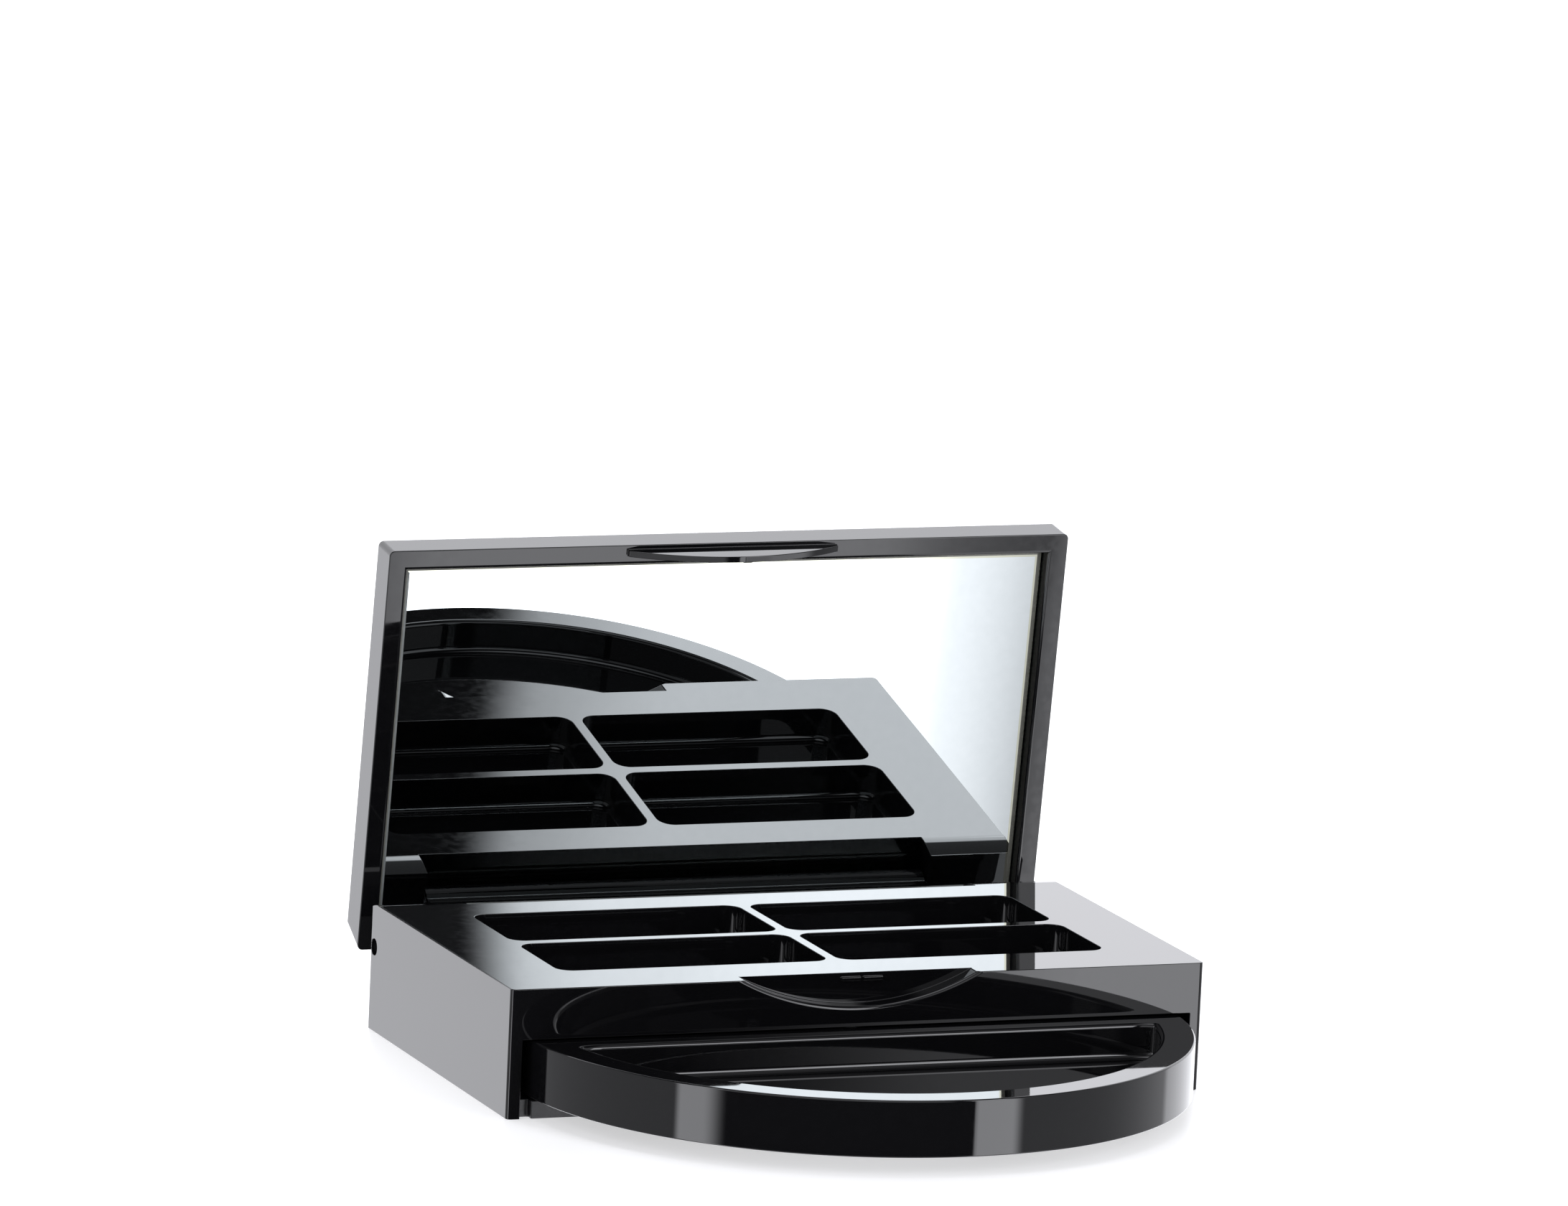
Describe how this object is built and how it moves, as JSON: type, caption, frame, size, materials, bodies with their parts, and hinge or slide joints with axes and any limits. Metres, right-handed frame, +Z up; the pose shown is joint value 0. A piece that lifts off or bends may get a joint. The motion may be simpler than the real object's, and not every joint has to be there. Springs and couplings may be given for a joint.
{
  "type": "eyeshadow palette",
  "caption": "Flat hinged cosmetics palette with rectangular pan wells in the deck, a mirrored lid with a latch tongue and a half round tray that swivels out of a slot in the front.",
  "frame": {"origin": "middle of the underside of the base", "axes": "+X to the right as the user faces the mirror, +Y from the tray to the hinge, +Z up out of the deck"},
  "size_m": [0.08, 0.087, 0.0539],
  "materials": {
    "gloss_black": "polished moulded black",
    "plate_black": "fine satin moulded black",
    "mirror_glass": "silvered glass",
    "adhesive": "adhesive sheet",
    "pin_steel": "drawn steel wire",
    "washer_plastic": "plain plastic film"
  },
  "bodies": {
    "base": {"base_body": "gloss_black", "bottom_plate": "plate_black", "hinge_pin_left": "pin_steel", "hinge_pin_right": "pin_steel", "tray_pivot_pin": "pin_steel", "tray_washer": "washer_plastic"},
    "lid": {"lid_shell": "gloss_black", "mirror": "mirror_glass", "mirror_adhesive": "adhesive"},
    "tray": {"swivel_tray": "gloss_black"}
  },
  "joints": [
    {"name": "lid_hinge", "type": "hinge", "parent": "base", "child": "lid", "pos_m": [0, 0.0212, 0.0093], "axis": [-1, 0, 0], "range_deg": [-83, 15]},
    {"name": "tray_swivel", "type": "hinge", "parent": "base", "child": "tray", "pos_m": [0, -0.0191, 0.00535], "axis": [0, 0, 1], "range_deg": [0, 180]}
  ]
}
